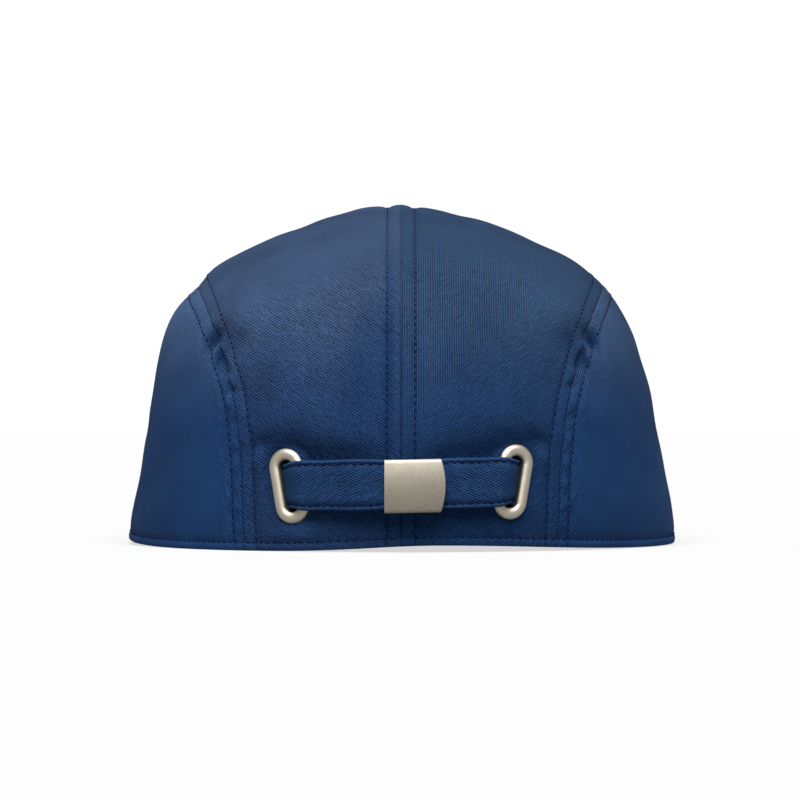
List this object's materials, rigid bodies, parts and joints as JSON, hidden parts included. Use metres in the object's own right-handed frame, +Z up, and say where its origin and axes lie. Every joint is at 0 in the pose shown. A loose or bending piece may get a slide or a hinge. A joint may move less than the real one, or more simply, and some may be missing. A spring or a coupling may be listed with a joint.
{
  "type": "flat bill cap",
  "caption": "Five-panel cloth cap with a flat bill, a cloth back strap through two oblong eyelets and a slide buckle.",
  "frame": {"origin": "on the surface that the cap rests on, under the middle of its bounding box", "axes": "+Z up through the crown, +Y forwards along the bill, +X towards the wearer's right, which is also the right of a viewer behind the cap"},
  "size_m": [0.1774, 0.2764, 0.1096],
  "materials": {
    "twill": "brushed cotton twill, matt",
    "bill_cover": "brushed cotton twill over a stiff board, matt",
    "strap": "folded cotton twill, matt",
    "antique_nickel": "antique nickel, tumbled and satin"
  },
  "bodies": {
    "root": {"back_panel_left": "twill", "back_panel_right": "twill", "side_panel_left": "twill", "side_panel_right": "twill", "front_panel": "twill", "bill": "bill_cover", "strap_left": "strap", "strap_right": "strap", "eyelet_left": "antique_nickel", "eyelet_right": "antique_nickel", "slide_buckle": "antique_nickel"}
  },
  "joints": []
}
